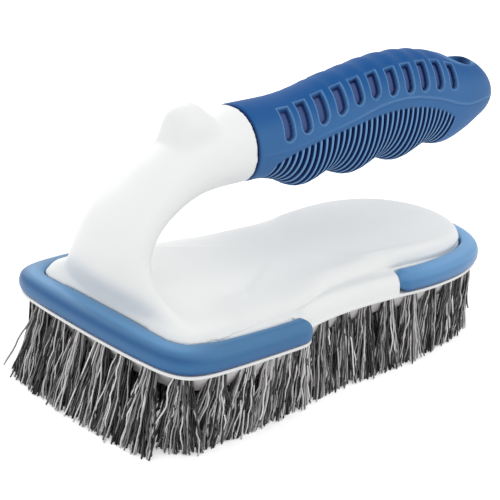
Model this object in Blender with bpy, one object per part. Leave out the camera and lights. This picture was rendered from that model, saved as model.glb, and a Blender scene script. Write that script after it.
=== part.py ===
"""A hand scrub brush: a white deck with a goose neck, a soft ribbed grip, two edge bumpers and tufted bristles."""

import math

import bmesh
import bpy
from mathutils import Vector

for old in list(bpy.data.objects):
    bpy.data.objects.remove(old)

MM = 0.001
GAP = 0.3  # left between two pieces that touch

# Heights above the floor, which the bristle tips stand on
LIP_Z = 26.5
PLATE_Z = 18.5  # underside of the tuft plate

# Half of the outline in plan, from the nose to the rear, through which a smooth curve runs
OUTLINE = (
    (-87.2, 0.0),
    (-87.0, 14.0),
    (-86.5, 26.0),
    (-85.2, 36.5),
    (-81.8, 43.0),
    (-75.5, 46.0),
    (-66.0, 46.9),
    (-54.0, 47.1),
    (-42.0, 47.1),
    (-34.0, 46.8),
    (-29.8, 44.8),
    (-27.2, 41.2),
    (-23.5, 38.2),
    (-17.0, 36.4),
    (-6.0, 35.1),
    (8.0, 34.9),
    (22.0, 35.7),
    (36.0, 36.9),
    (50.0, 36.4),
    (63.0, 34.0),
    (75.0, 28.8),
    (83.5, 20.0),
    (87.9, 9.5),
    (89.2, 0.0),
)
OUTLINE_STATIONS = 76
WAIST_TO_X = 40.0  # the waist lies within this x on both sides of the middle

# The deck, in heights above its lip
LIP_INSET = 0.8
LIP_THICK = 1.3
WALL_INSET = 7.2  # of the wall behind a bumper
LEDGE_H = 7.9
CROWN_H = 13.4
# Wall between the bumpers: height as a share of the ledge's, and inset from the lip
WAIST_WALL = ((0.165, 0.2), (0.75, 0.8), (1.0, 1.8))

# Half of the outline of the crown's foot, and the height of that foot along x
CROWN_OUTLINE = (
    (-77.8, 0.0),
    (-77.8, 20.0),
    (-77.0, 28.0),
    (-74.2, 33.2),
    (-68.3, 35.7),
    (-60.0, 35.9),
    (-44.0, 35.1),
    (-31.0, 34.2),
    (-23.0, 32.8),
    (-15.0, 30.4),
    (-6.0, 28.1),
    (7.0, 27.0),
    (27.0, 26.8),
    (41.5, 26.0),
    (55.0, 25.0),
    (66.0, 22.8),
    (74.0, 18.2),
    (79.0, 10.5),
    (80.5, 0.0),
)
CROWN_FOOT_H = (
    (-80.0, 8.3),
    (-8.0, 8.4),
    (12.0, 8.8),
    (30.0, 9.4),
    (81.0, 9.4),
)
# Share of the half width in which the crown climbs, along x
CROWN_SOFT = (
    (-80.0, 0.12),
    (-44.0, 0.17),
    (-22.0, 0.17),
    (-6.0, 0.08),
    (12.0, 0.07),
    (30.0, 0.035),
    (81.0, 0.035),
)
# Rings of the crown: share of the climb, share of the length drawn in, and of the climb's width
CROWN_RINGS = (
    (-0.6, 0.01, 0.0),
    (0.0, 0.0, 0.0),
    (0.34, 0.008, 0.32),
    (0.62, 0.02, 1.0),
    (0.84, 0.045, 2.0),
    (0.95, 0.09, 3.4),
)
CROWN_TOP_SHARE = 0.35  # of the outline left in the last ring
CORE_SHARES = (0.88, 0.7)  # of the ledge's outline, where the slab under the crown closes

# Bumpers
BUMPER_WIDE = 6.9
BUMPER_H = 8.4
# Section of a bumper: share of its width from the outer face, and share of its height
BUMPER_SECTION = (
    (0.12, 0.0),
    (0.0, 0.2),
    (0.02, 0.58),
    (0.18, 0.88),
    (0.5, 0.985),
    (0.68, 1.0),
    (1.0, 0.86),
    (1.0, 0.0),
)
FRONT_BUMPER_END_X = -30.0
REAR_BUMPER_END_X = 24.0
BUMPER_END_ROUND = 3.6
BUMPER_STEP = 4.2  # between stations along a bumper

# Neck: front point, rear point (x, height above the lip) and half width of each section, and how far
# back from the front point it is widest, as a share
NECK = (
    ((-77.3, 6.5), (-48.0, 6.5), 34.2, 0.44),
    ((-77.9, 9.9), (-52.0, 9.9), 33.6, 0.43),
    ((-78.6, 11.6), (-57.5, 11.6), 30.2, 0.42),
    ((-79.7, 13.6), (-64.0, 13.6), 25.6, 0.42),
    ((-81.3, 17.0), (-68.6, 16.5), 21.3, 0.42),
    ((-82.8, 22.5), (-69.8, 21.0), 18.3, 0.42),
    ((-83.0, 28.8), (-69.0, 25.6), 16.6, 0.43),
    ((-80.8, 35.5), (-66.8, 29.4), 15.3, 0.44),
    ((-76.4, 41.6), (-63.5, 33.0), 14.4, 0.45),
    ((-70.3, 47.4), (-59.0, 35.9), 13.8, 0.46),
    ((-63.3, 53.2), (-53.5, 38.5), 13.5, 0.47),
    ((-55.0, 58.6), (-47.5, 40.3), 13.5, 0.48),
    ((-45.5, 62.4), (-41.5, 41.1), 13.7, 0.49),
    ((-37.3, 64.8), (-35.5, 41.4), 13.9, 0.5),
)
NECK_SIDES = 22

# Thumb hump on the neck: x, height of its crest above the lip and half width
HUMP = (
    (-59.5, 55.5, 4.6),
    (-57.4, 60.0, 5.8),
    (-55.6, 64.2, 6.4),
    (-53.6, 67.3, 6.9),
    (-50.5, 68.9, 7.3),
    (-46.5, 68.7, 7.6),
    (-42.5, 67.0, 7.9),
    (-38.5, 65.2, 8.2),
    (-34.5, 65.4, 8.5),
)
HUMP_DEEP = 9.0
HUMP_SIDES = 16

# Grip: top line, under line (x, height above the lip) and half widths along x
GRIP_FRONT_X = -31.3
GRIP_TIP_X = 101.8
GRIP_TOP = (
    (-32.0, 67.2),
    (-10.0, 68.2),
    (2.0, 70.3),
    (12.0, 72.9),
    (26.0, 75.9),
    (38.0, 77.6),
    (52.0, 78.4),
    (64.0, 77.2),
    (74.0, 75.2),
    (83.0, 73.3),
    (90.0, 71.0),
    (95.3, 68.2),
    (99.0, 64.6),
    (101.1, 61.2),
    (101.8, 57.6),
)
GRIP_UNDER = (
    (-32.0, 41.4),
    (-20.5, 41.4),
    (-11.0, 39.8),
    (-0.7, 36.3),
    (11.5, 39.8),
    (24.5, 36.9),
    (37.5, 40.8),
    (49.0, 38.2),
    (62.5, 42.5),
    (74.0, 41.2),
    (83.0, 43.9),
    (90.0, 46.9),
    (95.3, 49.2),
    (99.0, 51.6),
    (101.1, 54.0),
    (101.8, 56.4),
)
GRIP_HALF_WIDE = (
    (-32.0, 14.0),
    (-10.0, 14.4),
    (10.0, 15.0),
    (40.0, 15.2),
    (60.0, 14.9),
    (79.0, 13.9),
    (89.0, 12.4),
    (95.3, 10.2),
    (99.0, 7.4),
    (101.1, 4.4),
    (101.8, 0.9),
)
GRIP_SIDES = 22
GRIP_WALL = 3.0
CORE_END_X = 72.0
CORE_STEPS = 6
RIM_GROOVE = 0.7  # seam between the neck's shoulder and the grip

# Ribs under the grip: cross grooves between x limits, below an upper line on the side
RIB_COUNT = 34
RIB_FROM_X = -19.5
RIB_PITCH = 2.68
RIB_DEEP = 0.7
RIB_UPPER = (
    (-23.5, 46.0),
    (-19.5, 49.8),
    (-11.5, 53.0),
    (11.0, 58.0),
    (33.5, 61.4),
    (50.0, 60.2),
    (63.5, 55.2),
    (71.0, 49.5),
)

# Slots across the grip's shoulder, from a round foot to a square head
SLOT_COUNT = 11
SLOT_FROM_X = -16.4
SLOT_PITCH = 8.4
SLOT_LEAN = 1.7
SLOT_WIDE = 4.2
SLOT_DEEP = 1.1
SLOT_BELOW_TOP = 2.0
# Share of the way from foot to head, and share of the full width there
SLOT_WIDTHS = ((0.0, 0.45), (0.07, 0.9), (0.16, 1.0), (0.45, 1.0), (0.75, 1.0), (1.0, 1.0))
SLOT_FOOT = (
    (-16.4, 56.6),
    (-8.0, 58.3),
    (0.4, 60.3),
    (17.2, 64.9),
    (25.6, 66.2),
    (50.8, 66.3),
    (67.6, 65.1),
)

# Hang hole through the grip near its tip
HOLE_FROM_TIP = 23.4
HOLE_LONG = 13.0
HOLE_WIDE = 8.0

# Tuft plate
TUFT_OUTLINE = (
    (-84.2, 0.0),
    (-84.0, 14.0),
    (-83.3, 26.0),
    (-81.6, 34.5),
    (-77.6, 40.2),
    (-71.0, 43.0),
    (-62.0, 43.9),
    (-52.0, 43.6),
    (-42.0, 42.2),
    (-32.0, 39.2),
    (-22.0, 35.6),
    (-10.0, 32.9),
    (4.0, 31.9),
    (20.0, 32.5),
    (36.0, 33.7),
    (50.0, 33.2),
    (62.0, 31.0),
    (73.0, 26.2),
    (81.0, 18.5),
    (85.0, 9.0),
    (86.2, 0.0),
)
CORE_SCALE = (0.87, 0.82)  # inner edge of the outer ring, as a share of the plate's outline
SLOPE_SHARE = 0.5
ROW_SLICE = 2.0

# Tufts
RING_LENGTHS = 8
RING_TUFTS = 5  # in each length
ROW_COUNT = 5
ROW_CLEAR = 2.0  # between a row's ends and the outer ring
ROW_PITCH = 13.5
STRAND_R = 0.75
STRAND_BEND = 0.6
ROOT_APART = 2.1
ROOT_DEEP = 1.2
NOSE_FLARE = 8.5  # of the tips beyond the plate's edge
REAR_FLARE = 2.5
SIDE_FLARE = (
    (-70.0, -1.4),
    (-44.0, -1.2),
    (-22.0, 3.2),
    (0.0, 5.3),
    (25.0, 4.6),
    (50.0, 0.8),
    (80.0, 0.8),
)


def material(name, colour, roughness):
    """A plain material for one piece."""
    made = bpy.data.materials.new(name)
    made.use_nodes = True
    made.diffuse_color = (*colour, 1.0)
    shader = made.node_tree.nodes["Principled BSDF"]
    shader.inputs["Base Color"].default_value = (*colour, 1.0)
    shader.inputs["Roughness"].default_value = roughness
    shader.inputs["Metallic"].default_value = 0.0
    return made


WHITE = (0.86, 0.87, 0.87)
PLATE_WHITE = (0.83, 0.84, 0.84)
GRIP_BLUE = (0.055, 0.17, 0.37)
BUMPER_BLUE = (0.05, 0.19, 0.42)
BRISTLE_GREY = (0.30, 0.30, 0.31)


def solid(name, points, faces, paint, helper=False):
    """One closed mesh object from points in millimetres."""
    mesh = bpy.data.meshes.new(name)
    build = bmesh.new()
    corners = [build.verts.new(Vector(point) * MM) for point in points]
    for face in faces:
        build.faces.new([corners[i] for i in face])
    bmesh.ops.recalc_face_normals(build, faces=build.faces)
    build.to_mesh(mesh)
    build.free()
    made = bpy.data.objects.new(name, mesh)
    bpy.context.scene.collection.objects.link(made)
    if helper:
        made.hide_render = True
        made.display_type = "WIRE"
    else:
        mesh.materials.append(paint)
        mesh.shade_smooth()
        mesh.set_sharp_from_angle(angle=math.radians(38))
    return made


def loft_faces(rings, sides, first=0):
    """Faces of a skin over rings of equal size, with both ends closed."""
    faces = []
    for ring in range(rings - 1):
        low = first + ring * sides
        for i in range(sides):
            j = (i + 1) % sides
            faces.append((low + i, low + j, low + sides + j, low + sides + i))
    faces.append(tuple(range(first, first + sides)))
    faces.append(tuple(range(first + (rings - 1) * sides, first + rings * sides)))
    return faces


def loft(name, rings, paint, helper=False):
    points = [point for ring in rings for point in ring]
    return solid(name, points, loft_faces(len(rings), len(rings[0])), paint, helper)


def boolean(target, other, operation):
    change = target.modifiers.new(other.name, "BOOLEAN")
    change.operation = operation
    change.solver = "EXACT"
    change.object = other


def along(line, x):
    """Height of a smooth curve through the line's points, at x."""
    if x <= line[0][0]:
        return line[0][1]
    if x >= line[-1][0]:
        return line[-1][1]
    k = max(i for i in range(len(line) - 1) if line[i][0] <= x)
    before = line[max(k - 1, 0)]
    start = line[k]
    end = line[k + 1]
    after = line[min(k + 2, len(line) - 1)]
    wide = end[0] - start[0]
    t = (x - start[0]) / wide
    slope_start = (end[1] - before[1]) / (end[0] - before[0]) * wide
    slope_end = (after[1] - start[1]) / (after[0] - start[0]) * wide
    square = t * t
    cube = square * t
    return (
        start[1] * (2 * cube - 3 * square + 1)
        + slope_start * (cube - 2 * square + t)
        + end[1] * (3 * square - 2 * cube)
        + slope_end * (cube - square)
    )


def closed_curve(half, per_span=12):
    """A smooth closed curve through the half outline and its mirror image, as points."""
    whole = list(half) + [(x, -y) for x, y in reversed(half[1:-1])]
    count = len(whole)
    points = []
    for i in range(count):
        p0, p1, p2, p3 = (Vector(whole[(i + k) % count]) for k in (-1, 0, 1, 2))
        for step in range(per_span):
            t = step / per_span
            points.append(
                0.5
                * (
                    2 * p1
                    + (p2 - p0) * t
                    + (2 * p0 - 5 * p1 + 4 * p2 - p3) * t * t
                    + (3 * p1 - p0 - 3 * p2 + p3) * t * t * t
                )
            )
    return points


class Edge:
    """A closed outline that is read by the distance along it, from the nose towards +Y."""

    def __init__(self, half):
        self.points = closed_curve(half)
        self.lengths = [0.0]
        for here, there in zip(self.points, self.points[1:] + self.points[:1]):
            self.lengths.append(self.lengths[-1] + (there - here).length)
        self.length = self.lengths[-1]

    def at(self, s):
        """Point and outward normal, s millimetres from the nose."""
        s %= self.length
        count = len(self.points)
        k = next(i for i in range(count) if self.lengths[i + 1] >= s)
        share = (s - self.lengths[k]) / (self.lengths[k + 1] - self.lengths[k])
        here = self.points[k].lerp(self.points[(k + 1) % count], share)
        ahead = self.points[(k + 2) % count] - self.points[k]
        behind = self.points[(k + 1) % count] - self.points[k - 1]
        run = behind.lerp(ahead, share).normalized()
        return here, Vector((-run.y, run.x))

    def s_of_x(self, x):
        """How far from the nose the +Y side reaches x."""
        k = next(i for i in range(len(self.points)) if self.points[i + 1].x >= x)
        here = self.points[k]
        there = self.points[k + 1]
        share = (x - here.x) / (there.x - here.x)
        return self.lengths[k] + share * (self.lengths[k + 1] - self.lengths[k])


DECK_EDGE = Edge(OUTLINE)
FRONT_END_S = DECK_EDGE.s_of_x(FRONT_BUMPER_END_X)
REAR_END_S = DECK_EDGE.s_of_x(REAR_BUMPER_END_X)


def smooth_step(value):
    value = min(max(value, 0.0), 1.0)
    return value * value * (3 - 2 * value)


def bumper_share(s):
    """1 where a bumper lies against the deck, 0 at the waist."""
    s %= DECK_EDGE.length
    s = min(s, DECK_EDGE.length - s)
    past_front = s - FRONT_END_S
    before_rear = REAR_END_S - s
    clear = 2 * GAP
    return 1 - smooth_step((min(past_front, before_rear) - clear) / BUMPER_END_ROUND)


def outline_ring(z, inset, per_bumper=0.0):
    """The outline at height z, moved in, and further behind a bumper."""
    ring = []
    for s in DECK_S:
        here, out = DECK_EDGE.at(s)
        point = here - out * (inset + per_bumper * bumper_share(s))
        ring.append((point.x, point.y, z))
    return ring


def deck_stations():
    """Even stations, with closer ones at the ends of the bumpers."""
    stations = [DECK_EDGE.length * i / OUTLINE_STATIONS for i in range(OUTLINE_STATIONS)]
    extra = []
    for end, way in ((FRONT_END_S, 1), (REAR_END_S, -1)):
        for step in range(5):
            extra.append(end + way * (2 * GAP + BUMPER_END_ROUND * step / 4))
    extra += [DECK_EDGE.length - s for s in extra]
    apart = DECK_EDGE.length / OUTLINE_STATIONS / 3
    kept = [s for s in stations if min(abs(s - e) for e in extra) > apart]
    return sorted(kept + extra)


DECK_S = deck_stations()

# Handle moulding
behind = WALL_INSET - LIP_INSET
deck_rings = [outline_ring(LIP_Z, LIP_INSET), outline_ring(LIP_Z + LIP_THICK, LIP_INSET)]
for share, inset in WAIST_WALL:
    deck_rings.append(outline_ring(LIP_Z + LEDGE_H * share, LIP_INSET + inset, behind - inset))
ledge = deck_rings[-1]
for share in CORE_SHARES:
    deck_rings.append([(x * share, y * share, LIP_Z + along(CROWN_FOOT_H, x)) for x, y, _ in ledge])
deck = loft("handle_moulding", deck_rings, material("handle_moulding", WHITE, 0.42))


def crown_ring(climb, shorter, narrower):
    """The crown's outline at a share of its climb, drawn in along its length and its width."""
    ring = []
    for i in range(OUTLINE_STATIONS):
        here = CROWN_EDGE.at(CROWN_EDGE.length * i / OUTLINE_STATIONS)[0]
        foot = along(CROWN_FOOT_H, here.x)
        width = 1 - narrower * along(CROWN_SOFT, here.x)
        ring.append((here.x * (1 - shorter), here.y * width, LIP_Z + foot + (CROWN_H - foot) * climb))
    return ring


CROWN_EDGE = Edge(CROWN_OUTLINE)
crown_rings = [crown_ring(*row) for row in CROWN_RINGS]
crown_rings.append([(x * CROWN_TOP_SHARE, y * CROWN_TOP_SHARE, LIP_Z + CROWN_H) for x, y, _ in crown_rings[0]])
crown = loft("crown_form", crown_rings, None, helper=True)
boolean(deck, crown, "UNION")


def grip_section(x, inset):
    """Middle height, half height and half width of the grip at x, less an inset."""
    top = LIP_Z + along(GRIP_TOP, x)
    under = LIP_Z + along(GRIP_UNDER, x)
    half_high = (top - under) / 2 - inset
    return (top + under) / 2, half_high, along(GRIP_HALF_WIDE, x) - inset


def oval(x, middle, half_high, half_wide, sides):
    """An upright oval section at x, as points."""
    ring = []
    for i in range(sides):
        turn = 2 * math.pi * i / sides
        ring.append((x, half_wide * math.sin(turn), middle + half_high * math.cos(turn)))
    return ring


def neck_ring(front, rear, half_wide, lead):
    """A section from the front point to the rear point, widest at the lead share of the way."""
    front = Vector((front[0], 0.0, LIP_Z + front[1]))
    rear = Vector((rear[0], 0.0, LIP_Z + rear[1]))
    middle = front.lerp(rear, lead)
    ring = []
    for i in range(NECK_SIDES):
        turn = 2 * math.pi * i / NECK_SIDES
        end = front if math.cos(turn) > 0 else rear
        point = middle + (end - middle) * abs(math.cos(turn))
        point.y += half_wide * math.sin(turn)
        ring.append(tuple(point))
    return ring


neck_rings = [neck_ring(*section) for section in NECK]
shoulder_x = GRIP_FRONT_X - GAP
for x, inset in ((shoulder_x - RIM_GROOVE, 0.0), (shoulder_x, 0.0), (shoulder_x, GRIP_WALL + GAP)):
    neck_rings.append(oval(x, *grip_section(x, inset), NECK_SIDES))
core_span = CORE_END_X - GRIP_FRONT_X
for step in range(1, CORE_STEPS + 1):
    x = GRIP_FRONT_X + core_span * step / CORE_STEPS
    neck_rings.append(oval(x, *grip_section(x, GRIP_WALL + GAP), NECK_SIDES))
neck = loft("neck_form", neck_rings, None, helper=True)
boolean(deck, neck, "UNION")

hump_rings = []
for x, crest, half_wide in HUMP:
    hump_rings.append(oval(x, LIP_Z + crest - HUMP_DEEP, HUMP_DEEP, half_wide, HUMP_SIDES))
hump = loft("hump_form", hump_rings, None, helper=True)
boolean(deck, hump, "UNION")


# Grip sleeve
def rib_share(x, z):
    """1 well inside the ribbed field under the grip, 0 outside it."""
    return smooth_step((LIP_Z + along(RIB_UPPER, x) - z) / 1.5 + 0.5)


def grip_ring(x, groove=False):
    middle, half_high, half_wide = grip_section(x, 0.0)
    ring = oval(x, middle, half_high, half_wide, GRIP_SIDES)
    if not groove:
        return ring
    pressed = []
    for point in ring:
        sunk = RIB_DEEP * rib_share(x, point[2])
        up = (point[2] - middle) / half_high
        side = point[1] / half_wide
        pressed.append((x, point[1] - side * sunk, point[2] - up * sunk))
    return pressed


rib_to_x = RIB_FROM_X + (RIB_COUNT - 1) * RIB_PITCH
grip_rings = [grip_ring(GRIP_FRONT_X), grip_ring(GRIP_FRONT_X + 4), grip_ring(RIB_FROM_X - RIB_PITCH)]
for i in range(RIB_COUNT):
    grip_rings.append(grip_ring(RIB_FROM_X + i * RIB_PITCH - RIB_PITCH / 2))
    grip_rings.append(grip_ring(RIB_FROM_X + i * RIB_PITCH, groove=True))
tail_span = GRIP_TIP_X - rib_to_x
for share in (0.05, 0.2, 0.36, 0.52, 0.66, 0.78, 0.87, 0.94, 0.98, 1.0):
    grip_rings.append(grip_ring(rib_to_x + tail_span * share))
grip = loft("grip_sleeve", grip_rings, material("grip_sleeve", GRIP_BLUE, 0.62))

cavity_rings = []
for step in range(-1, CORE_STEPS + 1):
    x = GRIP_FRONT_X + core_span * step / CORE_STEPS
    cavity_rings.append(oval(x, *grip_section(x, GRIP_WALL), NECK_SIDES))
x = CORE_END_X + GAP
cavity_rings.append(oval(x, *grip_section(x, GRIP_WALL), NECK_SIDES))
cavity = loft("cavity_cutter", cavity_rings, None, helper=True)
boolean(grip, cavity, "DIFFERENCE")


def grip_point(x, z, side):
    """Point and outward normal of the grip's skin at x and z, on the side +1 or -1."""
    middle, half_high, half_wide = grip_section(x, 0.0)
    up = (z - middle) / half_high
    y = half_wide * math.sqrt(max(1 - up * up, 0.0))
    normal = Vector((0.0, side * y / half_wide**2, (z - middle) / half_high**2))
    return Vector((x, side * y, z)), normal.normalized()


def slot_cutter(foot_x, side):
    """A strip that follows the grip's skin, round at its foot."""
    head_x = foot_x + SLOT_LEAN
    foot_z = LIP_Z + along(SLOT_FOOT, foot_x)
    head_z = LIP_Z + along(GRIP_TOP, head_x) - SLOT_BELOW_TOP
    rings = []
    for share, wide in SLOT_WIDTHS:
        x = foot_x + SLOT_LEAN * share
        middle, half_high, _ = grip_section(x, 0.0)
        foot_turn = math.asin(min((foot_z - middle) / half_high, 0.98))
        head_turn = math.asin(min((head_z - middle) / half_high, 0.98))
        turn = foot_turn + (head_turn - foot_turn) * share
        skin, normal = grip_point(x, middle + half_high * math.sin(turn), side)
        across = Vector((SLOT_WIDE * wide / 2, 0.0, 0.0))
        rings.append(
            [
                tuple(skin - across + normal * 3 * SLOT_DEEP),
                tuple(skin + across + normal * 3 * SLOT_DEEP),
                tuple(skin + across - normal * SLOT_DEEP),
                tuple(skin - across - normal * SLOT_DEEP),
            ]
        )
    return rings


slot_points = []
slot_faces = []
for side in (-1, 1):
    for i in range(SLOT_COUNT):
        rings = slot_cutter(SLOT_FROM_X + i * SLOT_PITCH, side)
        slot_faces += loft_faces(len(rings), 4, len(slot_points))
        slot_points += [point for ring in rings for point in ring]
slots = solid("slot_cutter", slot_points, slot_faces, None, helper=True)
boolean(grip, slots, "DIFFERENCE")

hole_x = GRIP_TIP_X - HOLE_FROM_TIP
hole_rings = []
for height in (along(GRIP_UNDER, hole_x) - HOLE_LONG, along(GRIP_TOP, hole_x) + HOLE_LONG):
    ring = []
    for i in range(GRIP_SIDES):
        turn = 2 * math.pi * i / GRIP_SIDES
        x = hole_x + HOLE_LONG / 2 * math.cos(turn)
        ring.append((x, HOLE_WIDE / 2 * math.sin(turn), LIP_Z + height))
    hole_rings.append(ring)
hole = loft("hole_cutter", hole_rings, None, helper=True)
boolean(grip, hole, "DIFFERENCE")


# Bumpers
def bumper(name, start, end, paint):
    """A soft bar along the outline from start to end, with round ends."""
    low = LIP_Z + LIP_THICK + GAP
    high = LIP_Z + BUMPER_H
    section = [(BUMPER_WIDE * share, low + (high - low) * rise) for share, rise in BUMPER_SECTION]
    middle_inset = BUMPER_WIDE / 2
    middle_z = (low + high) / 2
    count = round((end - start - 2 * BUMPER_END_ROUND) / BUMPER_STEP)
    stations = []
    for turn in (15, 38, 62, 90):
        angle = math.radians(turn)
        stations.append((BUMPER_END_ROUND * (1 - math.cos(angle)), math.sin(angle)))
    bars = [(start + reach, full) for reach, full in stations]
    bars += [
        (start + BUMPER_END_ROUND + (end - start - 2 * BUMPER_END_ROUND) * i / count, 1.0)
        for i in range(1, count)
    ]
    bars += [(end - reach, full) for reach, full in reversed(stations)]
    rings = []
    for s, full in bars:
        here, out = DECK_EDGE.at(s)
        ring = []
        for inset, z in section:
            point = here - out * (middle_inset + (inset - middle_inset) * full)
            ring.append((point.x, point.y, middle_z + (z - middle_z) * full))
        rings.append(ring)
    return loft(name, rings, paint)


bumper("front_bumper", -FRONT_END_S, FRONT_END_S, material("front_bumper", BUMPER_BLUE, 0.45))
bumper("rear_bumper", REAR_END_S, DECK_EDGE.length - REAR_END_S, material("rear_bumper", BUMPER_BLUE, 0.45))

# Tuft plate
PLATE_TOP_Z = LIP_Z - GAP
TUFT_EDGE = Edge(TUFT_OUTLINE)


def ring_edges(s):
    """Outer top, outer bottom and inner edge of the outer tuft ring at s, in plan."""
    outer = TUFT_EDGE.at(s)[0]
    inner = Vector((outer.x * CORE_SCALE[0], outer.y * CORE_SCALE[1]))
    return outer, outer.lerp(inner, SLOPE_SHARE), inner


def core_ring(z):
    ring = []
    for i in range(OUTLINE_STATIONS // 2):
        inner = ring_edges(TUFT_EDGE.length * 2 * i / OUTLINE_STATIONS)[2]
        out = inner.normalized()
        point = inner - out * 2 * GAP
        ring.append((point.x, point.y, z))
    return ring


loft(
    "tuft_block",
    [core_ring(PLATE_Z + ROW_SLICE + GAP), core_ring(PLATE_TOP_Z)],
    material("tuft_block", PLATE_WHITE, 0.45),
)


def strand_rings(root, tip, bend, sides=3):
    """A three-sided strand from its root to its flat end on the floor, bent once."""
    rings = []
    for share, push in ((0.0, 0.0), (0.5, 1.0), (1.0, 0.0)):
        middle = root.lerp(tip, share) + bend * push
        ring = []
        for i in range(sides):
            turn = 2 * math.pi * i / sides
            ring.append(
                (middle.x + STRAND_R * math.cos(turn), middle.y + STRAND_R * math.sin(turn), middle.z)
            )
        rings.append(ring)
    return rings


def tufted(name, slice_rings, strands):
    """A slice of the plate with its strands fused to it."""
    base = loft(name, slice_rings, material(name, BRISTLE_GREY, 0.6))
    points = []
    faces = []
    for rings in strands:
        faces += loft_faces(len(rings), len(rings[0]), len(points))
        points += [point for ring in rings for point in ring]
    bunch = solid(name + "_strands", points, faces, None, helper=True)
    boolean(base, bunch, "UNION")
    return base


def flare(s):
    """How far the tips stand outside the plate's edge at s."""
    here, out = TUFT_EDGE.at(s)
    side = along(SIDE_FLARE, here.x)
    nose = max(-out.x, 0.0) ** 6 if here.x < -WAIST_TO_X else 0.0
    rear = max(out.x, 0.0) ** 3 if here.x > WAIST_TO_X else 0.0
    return side + (NOSE_FLARE - side) * nose + (REAR_FLARE - side) * rear


length = TUFT_EDGE.length / RING_LENGTHS
pitch = length / RING_TUFTS
strand_count = 0
for part in range(RING_LENGTHS):
    slice_rings = []
    steps = 8
    for step in range(steps + 1):
        s = length * part + GAP + (length - 2 * GAP) * step / steps
        outer, lower, inner = ring_edges(s)
        slice_rings.append(
            [
                (outer.x, outer.y, PLATE_TOP_Z),
                (lower.x, lower.y, PLATE_Z),
                (inner.x, inner.y, PLATE_Z),
                (inner.x, inner.y, PLATE_TOP_Z),
            ]
        )
    strands = []
    for tuft in range(RING_TUFTS):
        middle_s = length * part + pitch * (tuft + 0.5)
        bend_way = STRAND_BEND * math.sin(2.4 * (part * RING_TUFTS + tuft))
        for row, down in ((0, 0.3), (1, 0.78)):
            for place in (-1, 0, 1):
                outer, lower, inner = ring_edges(middle_s + place * ROOT_APART)
                skin = outer.lerp(lower, down)
                root_z = PLATE_TOP_Z + (PLATE_Z - PLATE_TOP_Z) * down + ROOT_DEEP
                inwards = (inner - outer).normalized()
                root = Vector((*(skin + inwards * ROOT_DEEP), root_z))
                tip_s = middle_s + place * pitch / 3
                here, out = TUFT_EDGE.at(tip_s)
                reach = flare(tip_s) - row * 4.4
                tip = Vector((*(here + out * reach), 0.0))
                bend = Vector((out.y, -out.x, 0.0)) * bend_way
                strands.append(strand_rings(root, tip, bend))
    strand_count += len(strands)
    tufted(f"outer_tufts_{part + 1}", slice_rings, strands)


def row_reach(far_y):
    """The x limits of a row whose far side lies far_y from the middle line."""
    xs = [inner.x for inner in INNER_EDGE if inner.y >= far_y]
    return min(xs) + ROW_CLEAR, max(xs) - ROW_CLEAR


INNER_EDGE = [ring_edges(TUFT_EDGE.length * i / 720)[2] for i in range(360)]
waist_half = min(inner.y for inner in INNER_EDGE if abs(inner.x) < WAIST_TO_X)
row_apart = 2 * (waist_half - ROW_CLEAR) / ROW_COUNT
for row in range(ROW_COUNT):
    y = row_apart * (row - (ROW_COUNT - 1) / 2)
    half = row_apart / 2 - GAP / 2
    x_low, x_high = row_reach(abs(y) + half)
    slice_rings = []
    for x in (x_low, x_high):
        slice_rings.append(
            [
                (x, y - half, PLATE_Z),
                (x, y + half, PLATE_Z),
                (x, y + half, PLATE_Z + ROW_SLICE),
                (x, y - half, PLATE_Z + ROW_SLICE),
            ]
        )
    count = int((x_high - x_low) / ROW_PITCH)
    start = (x_low + x_high) / 2 - ROW_PITCH * (count - 1) / 2
    strands = []
    for tuft in range(count):
        middle = Vector((start + tuft * ROW_PITCH, y, 0.0))
        bend = Vector((math.cos(1.9 * tuft + row), math.sin(1.9 * tuft + row), 0.0)) * STRAND_BEND
        for place in range(3):
            turn = 2 * math.pi * place / 3 + 0.5
            out = Vector((math.cos(turn), math.sin(turn), 0.0))
            root = middle + out * ROOT_APART / 1.6
            root.z = PLATE_Z + ROW_SLICE / 2
            tip = middle + out * ROOT_APART * 1.5
            strands.append(strand_rings(root, tip, bend))
    strand_count += len(strands)
    tufted(f"inner_tufts_{row + 1}", slice_rings, strands)

print("strands", strand_count)

# The frame's origin is the middle of the foot of the whole brush
low = Vector((1e9, 1e9))
high = Vector((-1e9, -1e9))
for made in bpy.data.objects:
    for corner in made.data.vertices:
        if made.name.endswith("_cutter"):
            continue
        low = Vector((min(low.x, corner.co.x), min(low.y, corner.co.y)))
        high = Vector((max(high.x, corner.co.x), max(high.y, corner.co.y)))
middle = (low + high) / 2
for made in bpy.data.objects:
    for corner in made.data.vertices:
        corner.co.x -= middle.x
        corner.co.y -= middle.y
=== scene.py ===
"""The looks of a hand scrub brush.

A moulded white deck and goose neck, a blue rubber grip and bumpers, and crimped grey bristles.
"""

import math

import bpy
import numpy as np
from mathutils import Matrix, Vector


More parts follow.
